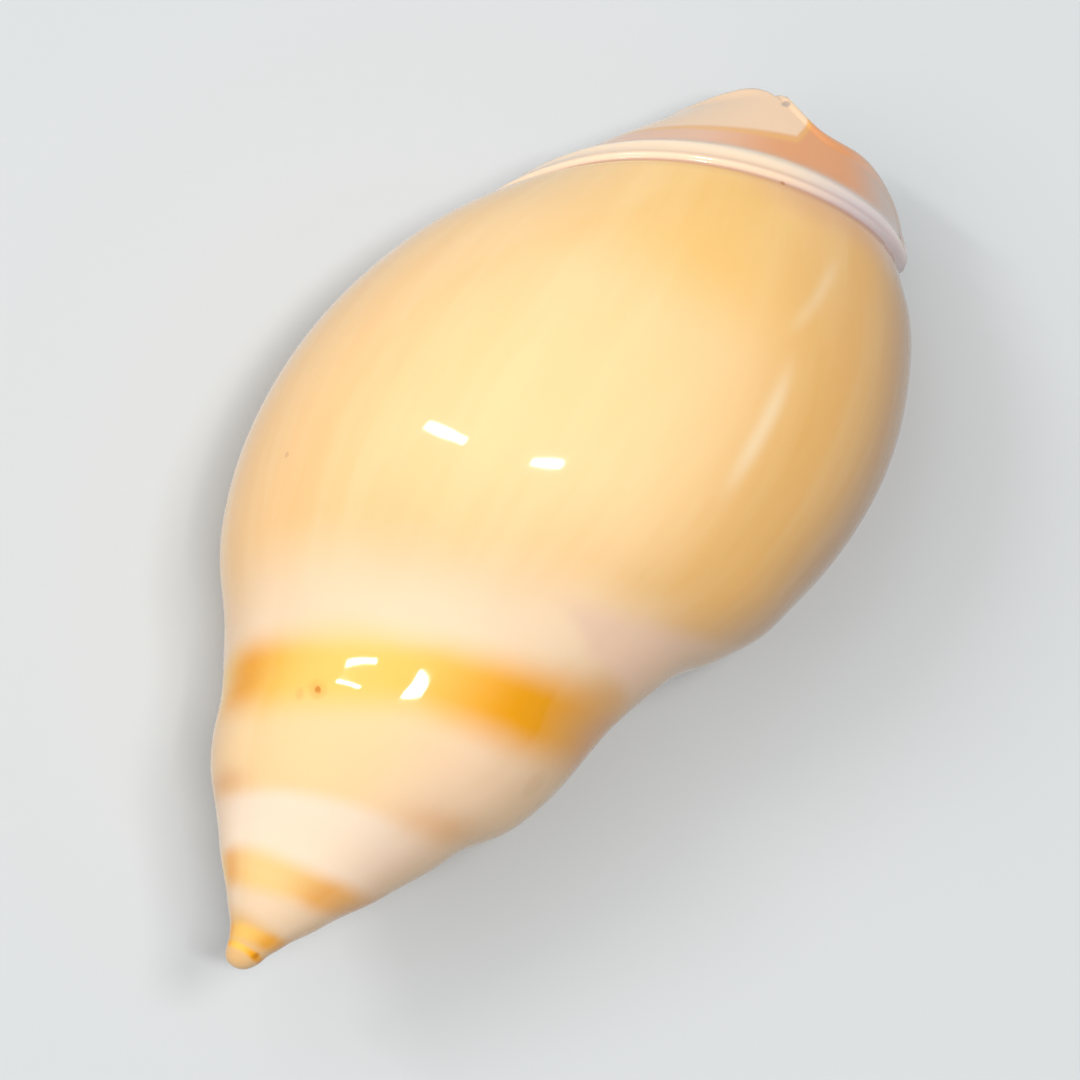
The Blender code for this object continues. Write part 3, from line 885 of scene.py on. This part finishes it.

# %% [markdown]
# ### Inside the mouth, and small marks
#
# The mouth is paler than the outside, and warmer and darker deeper in: partly a warm blush and
# partly painted shade in the hollow. A few small marks sit at their own places on the surface,
# each darkest in its middle and ragged at its edge. Most are natural blemishes; the last is a
# grey spot at the notch's corner.

# %% Mouth and marks
# Marks: turn, depth and size in millimetres, colour, and strength
MARKS = (
    (0.400, 14.8, 0.27, (200, 108, 16), 0.85),
    (0.400, 14.8, 0.75, (226, 160, 70), 0.35),
    (0.417, 14.2, 0.45, (222, 170, 92), 0.4),
    (0.150, 17.0, 1.20, (196, 152, 96), 0.2),
    (0.210, 1.5, 0.34, (190, 116, 16), 0.7),
    (0.262, 52.6, 0.20, (176, 116, 70), 0.7),
    (0.483, 25.1, 0.20, (196, 140, 96), 0.35),
    # A grey spot at the notch's corner.
    (0.262, 58.2, 0.35, (168, 156, 148), 0.7),
)
MARK_CORE, MARK_RAGGED = 0.35, 0.35 * MM

# Deeper into the mouth the tone is warmer and darker: partly its own blush, partly painted shade.
inner_tone_and_shade = turn.between(0.05, 0.45).over(paint(250, 232, 206), paint(228, 190, 146))
colour = inside.between(0.25, 0.9).over(body, inner_tone_and_shade)
ragged = wander(1800, 1, MARK_RAGGED)
for mark_turn, mark_depth, mark_size, mark_colour, mark_strength in MARKS:
    spot = tuple(on_table(mark_turn, mark_depth * MM))
    away = here.node("ShaderNodeVectorMath", {0: here, 1: spot}, output=1, operation="DISTANCE")
    mask = (away + ragged).between(mark_size * MM, mark_size * MM * MARK_CORE, mark_strength)
    colour = mask.over(colour, paint(*mark_colour))
print("marks", len(MARKS))

# %% [markdown]
# ### Gloss
#
# Callus is as smooth as glass but not quite even: its highlights waver. Two slow waves tilt the
# surface a little. The larger shapes are all in the mesh.

# %% Gloss and evenness
# Heights in millimetres
SLOW_WAVE, QUICK_WAVE = 0.08, 0.014
GLASSY, ROUGHER, ROUGH_MOTTLE = 0.05, 0.05, 0.03
CONSTANTS = {
    "IOR": 1.53,
    "Subsurface Weight": 0.18,
    "Subsurface Scale": 0.6 * MM,
    "Subsurface Radius": (1.0, 0.65, 0.4),
}

waver = mottle(130, 1) * SLOW_WAVE + mottle(420, 1) * QUICK_WAVE
uneven = here.node("ShaderNodeBump", {"Strength": 1.0, "Distance": MM, "Height": waver})
rough = GLASSY + (ahead_mask + inside) * ROUGHER + mottle(300, 3) * ROUGH_MOTTLE
for name, value in CONSTANTS.items():
    surface.inputs[name].default_value = value
tree.links.new(colour.socket, surface.inputs["Base Color"])
tree.links.new(rough.socket, surface.inputs["Roughness"])
tree.links.new(uneven.socket, surface.inputs["Normal"])
shell.data.materials.clear()
shell.data.materials.append(glaze)
print("nodes in the material", len(tree.nodes))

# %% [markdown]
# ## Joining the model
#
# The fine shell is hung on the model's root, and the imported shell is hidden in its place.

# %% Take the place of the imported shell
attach(shell, "root")
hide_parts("shell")
print("the fine shell stands for the packed one")

# %% [markdown]
# ## Table and camera
#
# The table is a plain pale sheet, so nothing draws the eye from the shell. The camera looks
# down on the shell's back, turned as in the photograph. Its small shift alone sets where the
# shell stands in the picture.

# %% Table
TABLE_SIDE, TABLE_ROUGHNESS, TABLE_SHINE = 3.0, 0.85, 0.15
TABLE_GREY = paint(205, 208, 209)

bpy.ops.object.select_all(action="DESELECT")
bpy.ops.mesh.primitive_plane_add(size=TABLE_SIDE, location=(0, 0, 0))
table = bpy.context.object
table.name = "pale_table"
table_paint = bpy.data.materials.new("pale_table")
table_paint.use_nodes = True
table_surface = table_paint.node_tree.nodes["Principled BSDF"]
table_surface.inputs["Base Color"].default_value = TABLE_GREY
table_surface.inputs["Roughness"].default_value = TABLE_ROUGHNESS
table_surface.inputs["Specular IOR Level"].default_value = TABLE_SHINE
table.data.materials.append(table_paint)
print("table side in m", TABLE_SIDE)

# %% Camera
VIEW_TILT, VIEW_TURN = 0.2309, 0.528
VIEW_DISTANCE, AIM_DEPTH, NEAREST_SEEN = 280 * MM, 28 * MM, 10 * MM
AIM_PIXEL = (477.5, 547.2)
PICTURE, SENSOR = 1080, 36.0
LENS = 4.598 * SENSOR

toward = turned @ np.array([0, math.cos(VIEW_TILT), math.sin(VIEW_TILT)])
along = turned @ np.array([0, math.sin(VIEW_TILT), -math.cos(VIEW_TILT)])
side = turned @ np.array([1.0, 0, 0])
right = side * math.cos(VIEW_TURN) + along * math.sin(VIEW_TURN)
up = along * math.cos(VIEW_TURN) - side * math.sin(VIEW_TURN)
aim = turned @ np.array([0, 0, -AIM_DEPTH]) + shift


def facing(across, upward, outward, distance):
    """The placing of a camera or lamp at a distance from the shell, looking back at it."""
    sides = Matrix([list(way) for way in (across, upward, outward)]).transposed()
    return Matrix.Translation(Vector(aim + outward * distance)) @ sides.to_4x4()


camera_data = bpy.data.cameras.new("view")
camera_data.lens = LENS
camera_data.sensor_width = SENSOR
camera_data.shift_x = (PICTURE / 2 - AIM_PIXEL[0]) / PICTURE
camera_data.shift_y = (AIM_PIXEL[1] - PICTURE / 2) / PICTURE
camera_data.clip_start = NEAREST_SEEN
camera = bpy.data.objects.new("view", camera_data)
bpy.context.scene.collection.objects.link(camera)
camera.matrix_world = facing(right, up, toward, VIEW_DISTANCE)
bpy.context.scene.camera = camera
print("camera height above the table in mm", round(camera.location.z / MM, 1))

# %% [markdown]
# ## Light
#
# Two narrow lamps give the crisp highlights: one close beside the camera and one to the left.
# A wide soft lamp and a small one light the shell without showing in its gloss, and the pale
# room fills the shadows.

# %% Lamps and surroundings
# Lamps: name, direction, distance, spread, slope, power, and whether the gloss shows them
LAMPS = (
    ("lamp_by_camera", (0.09, 0.01, 1.0), 0.42, (9.5, 2.4), -18, 0.62, True),
    ("lamp_at_left", (-0.50, 0.33, 0.8), 0.50, (17.5, 2.6), -34, 0.40, True),
    ("soft_lamp_at_left", (-0.42, 0.25, 0.9), 0.60, (40.0, 40.0), 0, 1.36, False),
    ("soft_lamp_at_right", (0.26, 0.14, 1.0), 0.60, (9.0, 9.0), 0, 0.85, False),
)
ROOM_COLOUR, ROOM_STRENGTH = (0.95, 0.97, 1.0, 1.0), 0.28


def lamp(name, direction, distance, spread, slope, power, in_gloss):
    """A strip lamp. Its direction is given as right, up and toward the camera.

    Its spread is how wide and how high it looks from the shell, in degrees, and its slope is
    the direction of its long side in the picture, in degrees.
    """
    data = bpy.data.lights.new(name, "AREA")
    data.shape = "RECTANGLE"
    data.size, data.size_y = (distance * math.tan(math.radians(angle)) for angle in spread)
    data.energy = power
    way = right * direction[0] + up * direction[1] + toward * direction[2]
    way = way / np.linalg.norm(way)
    long_side = right * math.cos(math.radians(slope)) + up * math.sin(math.radians(slope))
    long_side = long_side - way * (long_side @ way)
    long_side = long_side / np.linalg.norm(long_side)
    made = bpy.data.objects.new(name, data)
    bpy.context.scene.collection.objects.link(made)
    made.matrix_world = facing(long_side, np.cross(way, long_side), way, distance)
    made.visible_glossy = in_gloss


for one_lamp in LAMPS:
    lamp(*one_lamp)
world = bpy.data.worlds.new("pale_room")
world.use_nodes = True
room = world.node_tree.nodes["Background"]
room.inputs["Color"].default_value = ROOM_COLOUR
room.inputs["Strength"].default_value = ROOM_STRENGTH
bpy.context.scene.world = world
bpy.context.scene.view_settings.view_transform = "Standard"
print("lamps", len(LAMPS))
